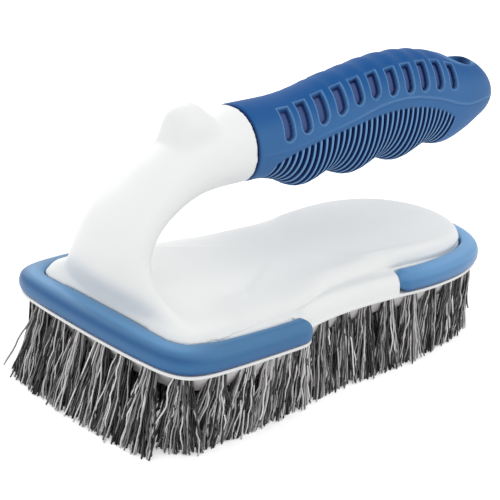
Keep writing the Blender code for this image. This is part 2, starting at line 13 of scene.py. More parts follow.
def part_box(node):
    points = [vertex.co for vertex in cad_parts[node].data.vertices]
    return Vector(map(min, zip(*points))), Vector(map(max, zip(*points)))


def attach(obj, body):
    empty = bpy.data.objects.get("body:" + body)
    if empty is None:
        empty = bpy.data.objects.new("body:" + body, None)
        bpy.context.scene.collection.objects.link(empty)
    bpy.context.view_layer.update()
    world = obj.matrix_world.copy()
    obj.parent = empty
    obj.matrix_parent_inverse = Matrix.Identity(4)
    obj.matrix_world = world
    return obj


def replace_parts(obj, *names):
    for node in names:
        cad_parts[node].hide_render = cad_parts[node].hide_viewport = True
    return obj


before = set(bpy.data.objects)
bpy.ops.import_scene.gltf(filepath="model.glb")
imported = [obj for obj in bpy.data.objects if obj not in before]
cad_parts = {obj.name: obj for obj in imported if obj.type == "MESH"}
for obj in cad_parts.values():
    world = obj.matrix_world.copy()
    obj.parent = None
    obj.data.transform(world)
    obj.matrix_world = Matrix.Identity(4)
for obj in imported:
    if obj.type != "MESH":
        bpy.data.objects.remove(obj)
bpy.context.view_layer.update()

# Camera, lamps and floor
# The photograph looks down at the nose's near corner from about four hundred millimetres, with a long
# lens and a slight roll, against a white sweep under an even, soft studio light.
MM = 0.001
SENSOR = 36.0
LENS_PIXELS = 1300.0
PICTURE_PIXELS = 500.0
CAMERA_PLACE = Vector((-315.4, -297.8, 193.9)) * MM
CAMERA_TURN = math.radians(-44.62)
CAMERA_TILT = math.radians(-20.05)
CAMERA_ROLL = math.radians(4.42)
SWEEP_GREY = 0.86
SWEEP_LIFT = 0.42
SWEEP_SIZE = 12.0
LAMP_AIM = Vector((0.0, 0.0, 0.05))
LAMP_SIZE = 0.8

lens = bpy.data.cameras.new("camera")
lens.sensor_width = SENSOR
lens.lens = LENS_PIXELS / PICTURE_PIXELS * SENSOR
lens.clip_start = 0.01
camera = bpy.data.objects.new("camera", lens)
bpy.context.scene.collection.objects.link(camera)
turn = Matrix.Rotation(CAMERA_TURN, 4, "Z")
tilt = Matrix.Rotation(math.radians(90) + CAMERA_TILT, 4, "X")
roll = Matrix.Rotation(CAMERA_ROLL, 4, "Z")
camera.matrix_world = Matrix.Translation(CAMERA_PLACE) @ turn @ tilt @ roll
bpy.context.scene.camera = camera
bpy.context.scene.view_settings.view_transform = "Standard"


def soft_lamp(name, place, power):
    """A square area lamp that looks from its place at the brush."""
    light = bpy.data.lights.new(name, "AREA")
    light.size = LAMP_SIZE
    light.energy = power
    lamp = bpy.data.objects.new(name, light)
    bpy.context.scene.collection.objects.link(lamp)
    aimed = (LAMP_AIM - Vector(place)).to_track_quat("-Z", "Y").to_matrix().to_4x4()
    lamp.matrix_world = Matrix.Translation(Vector(place)) @ aimed


soft_lamp("overhead", (-0.1, -0.35, 1.0), power=1.0)
soft_lamp("behind", (0.2, 0.95, 0.65), power=2.4)


class Signal:
    """One socket of a material, so that sums over a surface are written as plain expressions."""

    def __init__(self, tree, socket):
        self.tree = tree
        self.socket = socket

    def node(self, kind, settings, inputs, out=0):
        """A node of any kind: its settings first, then values or links for its sockets."""
        made = self.tree.nodes.new(kind)
        for name, value in settings.items():
            if name == "stops":
                ramp = made.color_ramp
                while len(ramp.elements) < len(value):
                    ramp.elements.new(1.0)
                for element, (place, colour) in zip(ramp.elements, value):
                    element.position = place
                    element.color = (*colour, 1.0)
            else:
                setattr(made, name, value)
        for name, value in inputs.items():
            if isinstance(value, Signal):
                self.tree.links.new(value.socket, made.inputs[name])
            else:
                made.inputs[name].default_value = value
        return Signal(self.tree, made.outputs[out])

    def maths(self, operation, left, right, clamp=False):
        settings = {"operation": operation, "use_clamp": clamp}
        return self.node("ShaderNodeMath", settings, {0: left, 1: right})

    def __add__(self, other):
        return self.maths("ADD", self, other)

    __radd__ = __add__

    def __mul__(self, other):
        return self.maths("MULTIPLY", self, other)

    __rmul__ = __mul__

    def __sub__(self, other):
        return self.maths("SUBTRACT", self, other)

    def __rsub__(self, other):
        return self.maths("SUBTRACT", other, self)

    def between(self, low, high):
        """0 at the low value, 1 at the high one, and smooth between them."""
        inputs = {"Value": self, "From Min": low, "From Max": high}
        return self.node("ShaderNodeMapRange", {"interpolation_type": "SMOOTHSTEP"}, inputs)

    def noise(self, scale, detail, roughness):
        """Noise over a vector, from 0 to 1."""
        inputs = {"Vector": self, "Scale": scale, "Detail": detail, "Roughness": roughness}
        return self.node("ShaderNodeTexNoise", {}, inputs)

    def mixed(self, low, high):
        """A colour between two colours, by this share."""
        settings = {"data_type": "RGBA"}
        inputs = {0: self}
        for place, colour in ((6, low), (7, high)):
            inputs[place] = colour if isinstance(colour, Signal) else (*colour, 1.0)
        return self.node("ShaderNodeMix", settings, inputs, out=2)

    def attribute(self, name):
        return self.node("ShaderNodeAttribute", {"attribute_name": name}, {}, out="Fac")

    def feeds(self, socket):
        self.tree.links.new(self.socket, socket)


def sweep_material(name, grey):
    """Pale, with the object's shadow, and lifted to white where a camera or a gloss sees it."""
    made = bpy.data.materials.new(name)
    made.use_nodes = True
    tree = made.node_tree
    tree.nodes.clear()
    start = Signal(tree, None)
    seen = start.node("ShaderNodeLightPath", {}, {}, out="Is Camera Ray")
    gloss = start.node("ShaderNodeLightPath", {}, {}, out="Is Glossy Ray")
    through = start.node("ShaderNodeLightPath", {}, {}, out="Is Transmission Ray")
    shown = start.maths("ADD", seen + gloss, through, clamp=True)
    plain = start.node("ShaderNodeBsdfDiffuse", {}, {"Color": (grey, grey, grey, 1.0)})
    glow = {"Color": (1.0, 1.0, 1.0, 1.0), "Strength": shown * SWEEP_LIFT}
    lift = start.node("ShaderNodeEmission", {}, glow)
    both = start.node("ShaderNodeAddShader", {}, {0: plain, 1: lift})
    out = tree.nodes.new("ShaderNodeOutputMaterial")
    both.feeds(out.inputs["Surface"])
    return made


bpy.ops.object.select_all(action="DESELECT")
bpy.ops.mesh.primitive_plane_add(size=SWEEP_SIZE, location=(0.0, 0.0, 0.0))
sweep = bpy.context.object
sweep.name = "sweep"
sweep.data.materials.append(sweep_material("sweep_paper", SWEEP_GREY))

world = bpy.data.worlds.new("studio")
bpy.context.scene.world = world
world.use_nodes = True
world.node_tree.nodes.clear()
start = Signal(world.node_tree, None)
air = start.node("ShaderNodeBackground", {}, {"Color": (1.0, 1.0, 1.0, 1.0), "Strength": 1.0})
air.feeds(world.node_tree.nodes.new("ShaderNodeOutputWorld").inputs["Surface"])

# Deck rim
# The polypropylene moulding's foot: a thin lip that follows the waisted outline, a wall that stands back
# behind the bumpers and comes out flush between them, and a narrow ledge round the crown.
LIP_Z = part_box("handle_moulding")[0].z / MM
GRIP_TIP_X = 101.8
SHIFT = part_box("grip_sleeve")[1].x / MM - GRIP_TIP_X  # from the drawing's x to the frame's
OUTLINE = (
    (-87.2, 0.0),
    (-87.0, 14.0),
    (-86.5, 26.0),
    (-85.2, 36.5),
    (-81.8, 43.0),
    (-75.5, 46.0),
    (-66.0, 46.9),
    (-54.0, 47.1),
    (-42.0, 47.1),
    (-34.0, 46.8),
    (-29.8, 44.8),
    (-27.2, 41.2),
    (-23.5, 38.2),
    (-17.0, 36.4),
    (-6.0, 35.1),
    (8.0, 34.9),
    (22.0, 35.7),
    (36.0, 36.9),
    (50.0, 36.4),
    (63.0, 34.0),
    (75.0, 28.8),
    (83.5, 20.0),
    (87.9, 9.5),
    (89.2, 0.0),
)
LIP_INSET = 0.8
LIP_THICK = 1.3
WALL_INSET = 7.2
BUMPER_WIDE = 6.9
LEDGE_H = 7.9
FRONT_BUMPER_END_X = -30.0
REAR_BUMPER_END_X = 24.0
BUMPER_END_ROUND = 3.6
WALL_STEP_GAP = 0.5
WALL_STEP_SOFT = 0.9
LEDGE_SHARES = (0.97, 0.94, 0.91, 0.88, 0.8, 0.7)
LEDGE_CLIMB = 0.12
WHITE = (0.815, 0.825, 0.82)
RIM_STATIONS = 900
EDGE_STEPS = 16
EDGE_PROBE = 0.6
BACK_NOSE = (
    (-78.3, 0.0),
    (-78.4, 14.0),
    (-79.1, 25.6),
    (-78.8, 32.0),
    (-76.4, 35.9),
    (-71.6, 38.3),
    (-64.5, 39.9),
    (-54.0, 40.8),
    (-42.0, 41.1),
    (-34.2, 40.7),
)


def eased(share):
    share = np.clip(share, 0.0, 1.0)
    return share * share * (3 - 2 * share)


def along(line, xs):
    """Values of a smooth curve through the line's points, at each x."""
    line = np.asarray(line, float)
    xs = np.clip(xs, line[0, 0], line[-1, 0] - 1e-6)
    k = np.clip(np.searchsorted(line[:, 0], xs, side="right") - 1, 0, len(line) - 2)
    before = line[np.maximum(k - 1, 0)]
    start = line[k]
    end = line[k + 1]
    after = line[np.minimum(k + 2, len(line) - 1)]
    wide = end[..., 0] - start[..., 0]
    t = (xs - start[..., 0]) / wide
    slope_start = (end[..., 1] - before[..., 1]) / (end[..., 0] - before[..., 0]) * wide
    slope_end = (after[..., 1] - start[..., 1]) / (after[..., 0] - start[..., 0]) * wide
    return (
        start[..., 1] * (2 * t**3 - 3 * t**2 + 1)
        + slope_start * (t**3 - 2 * t**2 + t)
        + end[..., 1] * (3 * t**2 - 2 * t**3)
        + slope_end * (t**3 - t**2)
    )


def through(points, count):
    """Evenly counted points of a smooth open curve through rows of numbers."""
    rows = np.asarray(points, float)
    places = np.linspace(0, len(rows) - 1, count)
    line = np.arange(len(rows), dtype=float)
    return np.stack([along(np.stack([line, column], 1), places) for column in rows.T], 1)


class Edge:
    """A closed outline, read by the distance along it from the nose towards +Y."""

    def __init__(self, half):
        whole = np.array(list(half) + [(x, -y) for x, y in reversed(half[1:-1])])
        before, after, next_after = (np.roll(whole, -step, 0) for step in (-1, 1, 2))
        t = (np.arange(EDGE_STEPS) / EDGE_STEPS)[None, :, None]
        # A smooth curve through each point, bent by the two on either side
        p0, p1, p2, p3 = (rows[:, None, :] for rows in (before, whole, after, next_after))
        bend = 2 * p0 - 5 * p1 + 4 * p2 - p3 + t * (3 * (p1 - p2) + p3 - p0)
        curve = p1 + 0.5 * t * (p2 - p0 + t * bend)
        points = curve.reshape(-1, 2)
        self.points = np.vstack([points, points[:1]])
        steps = np.linalg.norm(np.diff(self.points, axis=0), axis=1)
        self.lengths = np.concatenate([[0.0], np.cumsum(steps)])
        self.length = self.lengths[-1]

    def at(self, s):
        """Points and outward normals, s millimetres from the nose."""
        s = np.asarray(s, float) % self.length
        here = self.plain(s)
        run = self.plain((s + EDGE_PROBE) % self.length) - self.plain((s - EDGE_PROBE) % self.length)
        run /= np.linalg.norm(run, axis=-1, keepdims=True)
        return here, np.stack([-run[..., 1], run[..., 0]], -1)

    def plain(self, s):
        return np.stack([np.interp(s, self.lengths, self.points[:, axis]) for axis in (0, 1)], -1)

    def s_of_x(self, x):
        """How far from the nose the +Y side reaches x."""
        side = self.points[: len(self.points) // 2]
        return float(np.interp(x, side[:, 0], self.lengths[: len(side)]))


def sheet(name, rings, tones=None):
    """A mesh grid laid on rings of points in millimetres, with tones kept as attributes of its points."""
    rings = np.asarray(rings, float)
    rings = np.concatenate([rings, rings[:, :1]], 1)
    rows, columns = rings.shape[:2]
    bpy.ops.object.select_all(action="DESELECT")
    bpy.ops.mesh.primitive_grid_add(x_subdivisions=columns - 1, y_subdivisions=rows - 1, size=1.0)
    piece = bpy.context.object
    piece.name = name
    piece.data.name = name
    flat = np.zeros(len(piece.data.vertices) * 3)
    piece.data.vertices.foreach_get("co", flat)
    flat = flat.reshape(-1, 3)
    column = np.rint((flat[:, 0] + 0.5) * (columns - 1)).astype(int)
    row = np.rint((flat[:, 1] + 0.5) * (rows - 1)).astype(int)
    placed = rings[row, column]
    placed[:, 0] += SHIFT
    piece.data.vertices.foreach_set("co", (placed * MM).ravel())
    for tone, values in (tones or {}).items():
        values = np.concatenate([values, values[:, :1]], 1)
        piece.data.attributes.new(tone, "FLOAT", "POINT").data.foreach_set("value", values[row, column])
    bpy.ops.object.mode_set(mode="EDIT")
    bpy.ops.mesh.select_all(action="SELECT")
    bpy.ops.mesh.remove_doubles(threshold=0.000002)
    bpy.ops.mesh.normals_make_consistent(inside=False)
    bpy.ops.object.mode_set(mode="OBJECT")
    return piece


def capped(rings):
    """The rings with each end drawn to its middle point, so that the skin closes there."""
    rings = np.asarray(rings, float)
    first = np.repeat(rings[:1].mean(1, keepdims=True), rings.shape[1], 1)
    last = np.repeat(rings[-1:].mean(1, keepdims=True), rings.shape[1], 1)
    return np.concatenate([first, rings, last])


def smooth(piece, angle):
    bpy.ops.object.select_all(action="DESELECT")
    piece.select_set(True)
    bpy.context.view_layer.objects.active = piece
    bpy.ops.object.shade_smooth_by_angle(angle=math.radians(angle))


DECK_EDGE = Edge(OUTLINE)
FRONT_END_S = DECK_EDGE.s_of_x(FRONT_BUMPER_END_X)
REAR_END_S = DECK_EDGE.s_of_x(REAR_BUMPER_END_X)
RIM_S = np.linspace(0.0, DECK_EDGE.length, RIM_STATIONS, endpoint=False)


def bumper_share(s):
    """1 where a bumper lies against the deck, 0 at the waist, and round at its tip between them."""
    s = np.minimum(s, DECK_EDGE.length - s)
    past = np.minimum(s - FRONT_END_S, REAR_END_S - s) + WALL_STEP_GAP
    tip = np.sqrt(1 - np.clip(1 + past / BUMPER_END_ROUND, 0, 1) ** 2)
    return np.where(past < 0, 0.5 + 0.5 * tip, 0.5 - 0.5 * eased(past / WALL_STEP_SOFT))


# The bumper's back has a line of its own round the nose, and lies a plain width in elsewhere
past_nose = slice(len(BACK_NOSE) * EDGE_STEPS, len(OUTLINE) * EDGE_STEPS, EDGE_STEPS)
here, out = DECK_EDGE.at(DECK_EDGE.lengths[past_nose])
BACK_EDGE = Edge(list(BACK_NOSE) + [tuple(point) for point in here - out * BUMPER_WIDE])


def inward(s):
    """From the outline towards a bumper's back: one unit for each millimetre of its plain width."""
    s = np.asarray(s, float) % DECK_EDGE.length
    back = np.stack([np.interp(s, DECK_EDGE.lengths, BACK_EDGE.points[:, axis]) for axis in (0, 1)], -1)
    return (back - DECK_EDGE.plain(s)) / BUMPER_WIDE


def outline_ring(height, inset, behind):
    """The deck's outline at a height above the lip, moved in, and further in behind a bumper."""
    here, out = DECK_EDGE.at(RIM_S)
    plan = here - out * inset + inward(RIM_S) * (behind * bumper_share(RIM_S))[:, None]
    return np.column_stack([plan, np.full(len(plan), LIP_Z + height)])


wall = WALL_INSET - LIP_INSET
CROWN_FOOT_H = (
    (-80.0, 8.3),
    (-8.0, 8.4),
    (12.0, 8.8),
    (30.0, 9.4),
    (81.0, 9.4),
)
rim_profile = (  # height, how far in, and how much further in behind a bumper
    (0.0, 5.0, 6.0),
    (0.0, 1.25, 0.0),
    (0.1, 0.95, 0.0),
    (0.35, LIP_INSET, 0.0),
    (0.95, LIP_INSET, 0.0),
    (1.2, 0.95, 0.0),
    (LIP_THICK, 1.2, wall - 0.4),
    (1.7, 1.25, wall - 0.45),
    (3.6, 1.4, wall - 0.5),
    (5.0, 1.7, wall - 0.7),
    (6.2, 2.3, wall - 1.2),
    (7.0, 3.0, wall - 1.7),
    (7.5, 3.8, wall - 2.3),
    (7.8, 4.7, wall - 3.0),
    (LEDGE_H, 5.6, wall - 3.6),
)
rim_rings = [outline_ring(height, inset, behind) for height, inset, behind in rim_profile]
ledge = rim_rings[-1]
for share in LEDGE_SHARES:
    rise = min((1 - share) / LEDGE_CLIMB, 1.0)
    foot = LIP_Z + along(CROWN_FOOT_H, ledge[:, 0])
    rim_rings.append(np.column_stack([ledge[:, :2] * share, ledge[:, 2] + (foot - ledge[:, 2]) * rise]))
rim = sheet("deck_rim", capped(rim_rings))
smooth(rim, 50)


def moulded_plastic(name, colour, roughness, speck):
    """Satin moulded plastic: a faint cloudiness, finer grain, and slightly duller patches."""
    made = bpy.data.materials.new(name)
    made.use_nodes = True
    tree = made.node_tree
    shader = tree.nodes["Principled BSDF"]
    place = Signal(tree, None).node("ShaderNodeTexCoord", {}, {}, out="Object")
    cloud = place.noise(28.0, 4.0, 0.55)
    grain = place.noise(1600.0, 2.0, 0.6)
    scuff = place.noise(180.0, 5.0, 0.65).between(0.58, 0.78)
    dark = tuple(part * (1 - speck) for part in colour)
    (cloud.between(0.35, 0.7) * 0.6 + scuff * 0.25).mixed(colour, dark).feeds(shader.inputs["Base Color"])
    (roughness + scuff * 0.1 + cloud * 0.05).feeds(shader.inputs["Roughness"])
    bump = place.node("ShaderNodeBump", {}, {"Height": grain, "Strength": 0.12, "Distance": 0.00008})
    bump.feeds(shader.inputs["Normal"])
    shader.inputs["IOR"].default_value = 1.49
    return made


white_plastic = moulded_plastic("white_polypropylene", WHITE, 0.36, 0.035)
rim.data.materials.append(white_plastic)
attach(rim, "root")
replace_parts(rim, "handle_moulding")


# Crown, goose neck and thumb hump
# The rest of the same moulding: a low domed crown, a thin neck that springs from the nose and sweeps
# back over it to the grip, and a hump before the grip for the thumb. All of it flows together.
NECK = (  # front x and height, rear x and height, half width, and where between them it is widest
    (-77.6, 5.0, -48.0, 5.0, 35.0, 0.16),
    (-78.2, 11.8, -55.0, 11.0, 34.2, 0.18),
    (-79.1, 14.0, -62.0, 12.8, 30.0, 0.26),
    (-80.4, 16.3, -66.5, 14.9, 26.0, 0.36),
    (-81.6, 19.0, -69.0, 17.6, 22.7, 0.41),
    (-82.6, 22.8, -69.9, 21.2, 19.4, 0.42),
    (-83.0, 28.8, -69.0, 25.6, 16.6, 0.43),
    (-80.8, 35.5, -66.8, 29.4, 15.3, 0.44),
    (-76.4, 41.6, -63.5, 33.0, 14.4, 0.45),
    (-70.3, 47.4, -59.0, 35.9, 13.8, 0.46),
    (-63.3, 53.2, -53.5, 38.5, 13.5, 0.47),
    (-55.0, 58.6, -47.5, 40.3, 13.5, 0.48),
    (-45.5, 62.4, -41.5, 41.1, 13.7, 0.49),
    (-37.3, 64.8, -35.5, 41.4, 13.9, 0.5),
)
HUMP = (  # x, crest height, half width
    (-57.0, 55.5, 6.0),
    (-56.2, 60.2, 7.0),
    (-55.3, 64.6, 7.6),
    (-53.8, 68.0, 8.0),
    (-51.0, 70.0, 8.4),
    (-47.4, 70.0, 8.8),
    (-43.6, 67.6, 9.2),
    (-39.4, 64.0, 9.4),
    (-35.0, 63.0, 9.4),
)
HUMP_DEEP = 9.0
CROWN_OUTLINE = (
    (-77.9, 0.0),
    (-78.0, 14.0),
    (-78.7, 25.2),
    (-78.3, 31.6),
    (-75.9, 35.3),
    (-71.0, 37.6),
    (-63.0, 38.1),
    (-53.0, 36.8),
    (-44.0, 35.1),
    (-31.0, 34.2),
    (-23.0, 32.8),
    (-15.0, 30.4),
    (-6.0, 28.1),
    (7.0, 27.0),
    (27.0, 27.6),
    (41.5, 28.4),
    (54.0, 27.9),
    (65.0, 25.0),
    (72.8, 20.2),
    (77.8, 13.8),
    (80.5, 7.0),
    (81.3, 0.0),
)
CROWN_H = 13.4
CROWN_TAIL_RISE = 0.8
CROWN_TAIL_RUN = 50.0
CROWN_SOFT = (
    (-80.0, 0.05),
    (-66.0, 0.08),
    (-44.0, 0.17),
    (-22.0, 0.17),
    (-6.0, 0.08),
    (12.0, 0.07),
    (30.0, 0.035),
    (81.0, 0.035),
)
CROWN_RINGS = (  # climb from foot to top, and how much shorter and narrower it is by then
    (-1.0, 0.01, 0.0),
    (-0.3, 0.004, 0.0),
    (-0.04, -0.006, -0.3),
    (0.03, -0.002, -0.08),
    (0.14, 0.002, 0.1),
    (0.34, 0.008, 0.32),
    (0.62, 0.02, 1.0),
    (0.84, 0.045, 2.0),
    (0.95, 0.09, 3.4),
    (0.985, 0.2, 4.4),
    (1.0, 0.4, 5.0),
)
GRIP_FRONT_X = -31.3
GRIP_LEAN = (1.4, 1.3, 1.2)  # millimetres: of the whole front edge, and of its crest and foot about that
GRIP_TOP = (
    (-32.0, 67.2),
    (-10.0, 68.2),
    (2.0, 70.3),
    (12.0, 72.9),
    (26.0, 75.9),
    (38.0, 77.9),
    (52.0, 78.6),
    (64.0, 77.3),
    (74.0, 75.2),
    (83.0, 73.8),
    (90.0, 71.9),
    (95.3, 69.0),
    (99.0, 65.6),
    (101.1, 62.0),
    (101.8, 57.6),
)
GRIP_UNDER = (
    (-32.0, 41.4),
    (-20.5, 41.4),
    (-11.0, 39.5),
    (-0.7, 35.8),
    (11.5, 39.3),
    (24.5, 36.3),
    (37.5, 40.4),
    (49.0, 37.8),
    (62.5, 42.1),
    (74.0, 40.8),
    (83.0, 43.5),
    (90.0, 46.9),
    (95.3, 49.2),
    (99.0, 51.6),
    (101.1, 54.0),
    (101.8, 56.4),
)
GRIP_HALF_WIDE = (
    (-32.0, 14.0),
    (-10.0, 14.4),
    (10.0, 15.0),
    (40.0, 15.2),
    (60.0, 14.9),
    (79.0, 13.9),
    (89.0, 12.4),
    (95.3, 10.2),
    (99.0, 7.4),
    (101.1, 4.4),
    (101.8, 0.9),
)
NECK_ROUND = 96
NECK_STATIONS = 90
HUMP_STATIONS = 40
CROWN_STATIONS = 44
NECK_FOOT_TO_X = -44.0
VOXEL = 0.75
SHOULDER_GAP = 0.3
SHOULDER = (  # place along x from the neck's end, and how far in
    (-1.0, 0.0),
    (-0.25, 0.05),
    (0.0, 0.4),
    (0.0, 3.3),
)


def grip_section(xs, inset=0.0):
    """Middle height, half height and half width of the grip at each x, less an inset."""
    top = LIP_Z + along(GRIP_TOP, xs)
    under = LIP_Z + along(GRIP_UNDER, xs)
    return (top + under) / 2, (top - under) / 2 - inset, along(GRIP_HALF_WIDE, xs) - inset


def upright_oval(x, middle, half_high, half_wide, turns):
    across = half_wide * np.sin(turns)
    up = middle + half_high * np.cos(turns)
    return np.column_stack([np.full(len(turns), x), across, up])


def leaned(ring, middle, half_high, reach):
    """A section near the grip's front edge, leaned so that its foot lies further back than its crest."""
    up = (ring[..., 2] - middle) / half_high
    ring[..., 0] += (GRIP_LEAN[0] - GRIP_LEAN[1] * up + GRIP_LEAN[2] * up**2) * reach
    return ring


def neck_ring(front_x, front_h, rear_x, rear_h, half_wide, lead, turns):
    """A section from the front point to the rear point, widest at the lead share of the way."""
    front = np.array([front_x, 0.0, LIP_Z + front_h])
    rear = np.array([rear_x, 0.0, LIP_Z + rear_h])
    middle = front + (rear - front) * lead
    reach = np.where(np.cos(turns)[:, None] > 0, front - middle, rear - middle)
    ring = middle + reach * np.abs(np.cos(turns))[:, None]
    ring[:, 1] += half_wide * np.sin(turns)
    return ring


turns = np.linspace(0, 2 * math.pi, NECK_ROUND, endpoint=False)
neck_rings = [neck_ring(*row, turns) for row in through(NECK, NECK_STATIONS)]
shoulder_x = GRIP_FRONT_X - SHOULDER_GAP
for ahead, inset in SHOULDER:
    middle, half_high, half_wide = grip_section(shoulder_x + ahead, inset)
    ring = upright_oval(shoulder_x + ahead, middle, half_high, half_wide, turns)
    neck_rings.append(leaned(ring, middle, half_high, 1.0))
neck = sheet("neck", capped(neck_rings))
hump_rings = []
for x, crest, half_wide in through(HUMP, HUMP_STATIONS):
    hump_rings.append(upright_oval(x, LIP_Z + crest - HUMP_DEEP, HUMP_DEEP, half_wide, turns))
hump = sheet("hump", capped(hump_rings))
crown_edge = Edge(CROWN_OUTLINE)
plan = crown_edge.at(np.linspace(0.0, crown_edge.length, RIM_STATIONS, endpoint=False))[0]
foot = along(CROWN_FOOT_H, plan[:, 0])
soft = along(CROWN_SOFT, plan[:, 0])
top = CROWN_H + CROWN_TAIL_RISE * eased(plan[:, 0] / CROWN_TAIL_RUN)
crown_rings = []
for climb, shorter, narrower in through(CROWN_RINGS, CROWN_STATIONS):
    level = LIP_Z + foot + (top - foot) * climb
    long = plan[:, 0] * (1 - shorter)
    wide = plan[:, 1] * (1 - narrower * soft)
    crown_rings.append(np.column_stack([long, wide, level]))
crown = sheet("crown", capped(crown_rings))
bpy.ops.object.select_all(action="DESELECT")
for piece in (neck, hump, crown):
    piece.select_set(True)
bpy.context.view_layer.objects.active = crown
bpy.ops.object.join()
crown.name = "crown_and_neck"


def add_modifier(piece, name, kind, **settings):
    """A modifier with its settings, applied at once."""
    bpy.context.view_layer.objects.active = piece
    change = piece.modifiers.new(name, kind)
    for key, value in settings.items():
        setattr(change, key, value)
    bpy.ops.object.modifier_apply(modifier=name)


def grouped(piece, name, weights):
    """A vertex group from one weight for each corner."""
    group = piece.vertex_groups.new(name=name)
    for level in np.unique(np.round(weights, 1)):
        if level > 0:
            group.add(np.nonzero(np.round(weights, 1) == level)[0].tolist(), float(level), "REPLACE")


def corners(piece):
    """The corners of a piece's mesh, in the drawing's millimetres."""
    flat = np.zeros(len(piece.data.vertices) * 3)
    piece.data.vertices.foreach_get("co", flat)
    places = flat.reshape(-1, 3) / MM
    places[:, 0] -= SHIFT
    return places


add_modifier(crown, "fuse", "REMESH", mode="VOXEL", voxel_size=VOXEL * MM, use_smooth_shade=True)

# The joints are smoothed where the neck's foot meets the crown and where the hump meets the neck
places = corners(crown)
height = places[:, 2] - LIP_Z
aside = np.abs(places[:, 1])
foot = eased((height - 10.0) / 2.0) * (1 - eased((height - 15.0) / 9.0))
foot *= places[:, 0] < NECK_FOOT_TO_X
foot *= 0.5 + 0.5 * eased((aside - 16.0) / 8.0)
knob = eased((height - 48.0) / 6.0) * eased((-34.5 - places[:, 0]) / 3.0)
knob *= eased((places[:, 0] + 66.0) / 5.0)
flank = eased((aside - 2.5) / 4.0)
grouped(crown, "blend", np.maximum(foot, (0.2 + 0.8 * flank) * knob))
add_modifier(crown, "flow", "SMOOTH", factor=0.5, iterations=50, vertex_group="blend")
add_modifier(crown, "even", "SMOOTH", factor=0.5, iterations=4)
crown.data.materials.append(white_plastic)
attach(crown, "root")
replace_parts(crown, "handle_moulding")


# Grip
# A soft rubber sleeve moulded over the handle's core: finger swells below with close cross ribs, a row
# of round-footed pockets along each shoulder, a moulding seam between them, and a hole to hang it by.
RIB_COUNT = 34
RIB_FROM_X = -19.5
RIB_PITCH = 2.68
RIB_DEEP = 1.5
RIB_FADE = 0.9
# Painted highlight on the ribs' ridges
RIB_HIGHLIGHT = 0.9
GROOVE_FLOOR = 0.15  # this and the next two are shares of the pitch
GROOVE_WALL = 0.16
GROOVE_SHADE_WIDE = 0.24
RIB_UPPER = (
    (-23.5, 46.0),
    (-19.5, 49.8),
    (-11.5, 53.0),
    (11.0, 58.0),
    (33.5, 61.4),
    (50.0, 60.9),
    (63.5, 57.6),
    (71.0, 54.0),
)
POCKET_COUNT = 11
POCKET_FROM_X = -16.4
POCKET_PITCH = 8.4
POCKET_LEAN = 1.7
POCKET_HALF_WIDE = 2.25
POCKET_DEEP = 1.7
POCKET_WALL = 0.34
POCKET_RIM_OUT = 0.32
POCKET_RIM_WIDE = 0.23
POCKET_RIM_HIGH = 0.12
POCKET_FOOT = (
    (-16.4, 56.6),
    (-8.0, 58.3),
    (0.4, 60.3),
    (17.2, 64.9),
    (25.6, 66.2),
    (50.8, 66.3),
    (67.6, 65.1),
)
POCKET_BELOW_TOP = (
    (-16.4, 2.0),
    (0.4, 1.55),
    (17.2, 1.9),
    (25.6, 2.2),
    (34.0, 2.9),
    (42.4, 3.1),
    (52.0, 3.0),
    (61.0, 2.6),
    (70.0, 2.9),
)
FLUTE_DEEP = 0.35
FLUTES_FROM_X = 2.0
FLUTES_TO_X = 66.0
FLUTE_FADE = 8.0
SEAM_WIDE = 0.35
SEAM_HIGH = 0.1
FRONT_LINE_WIDE = 0.55
FRONT_LINE_DEEP = 0.7
FRONT_LAP = 3.0
LEAN_FADE = 12.0
SEAM = (
    (-31.3, 53.3),
    (-14.0, 54.2),
    (12.7, 60.0),
    (31.5, 64.2),
    (43.8, 64.7),
    (58.0, 62.8),
    (76.0, 58.6),
    (91.0, 59.1),
    (101.0, 59.0),
)
HANG_HOLE_FROM_TIP = 21.8
HANG_HOLE_LONG = 14.2
HANG_HOLE_SLOPE = 0.42
HANG_HOLE_WIDE = 8.6
HOLE_ROUND = 64
GRIP_BLUE = (0.045, 0.15, 0.36)
# Painted shade over the grip's top, on the pockets' floors and in its grooves, pocket walls and hole, and
# a painted highlight on ridges and rims
GRIP_TOP_SHADE_BLUE = (0.004, 0.08, 0.27)
GRIP_SHADE_BLUE = (0.0, 0.004, 0.06)
POCKET_SHADE_BLUE = (0.06, 0.1, 0.25)
GRIP_HIGHLIGHT_BLUE = (0.15, 0.32, 0.58)
GRIP_ROUND = 220
FRONT_STEPS = 20
RIB_STEPS = 10
TAIL_STEPS = 46
PAST_POCKETS = 2.4

ribs_from = RIB_FROM_X - RIB_PITCH
ribs_to = RIB_FROM_X + RIB_COUNT * RIB_PITCH
fine_to = ribs_to + PAST_POCKETS
front_xs = np.linspace(GRIP_FRONT_X, ribs_from, FRONT_STEPS, endpoint=False)
rib_xs = np.arange(ribs_from, fine_to, RIB_PITCH / RIB_STEPS)
tail = np.linspace(0, math.pi / 2, TAIL_STEPS)[1:]
tail_xs = fine_to + (GRIP_TIP_X - fine_to) * np.sin(tail)
grip_xs = np.concatenate([front_xs, rib_xs, tail_xs])
grip_turns = np.linspace(0, 2 * math.pi, GRIP_ROUND, endpoint=False)
middle, half_high, half_wide = (rows[:, None] for rows in grip_section(grip_xs))
up = np.cos(grip_turns)[None, :]
aside = np.sin(grip_turns)[None, :]
xs = np.repeat(grip_xs[:, None], GRIP_ROUND, 1)
height = middle + half_high * up - LIP_Z

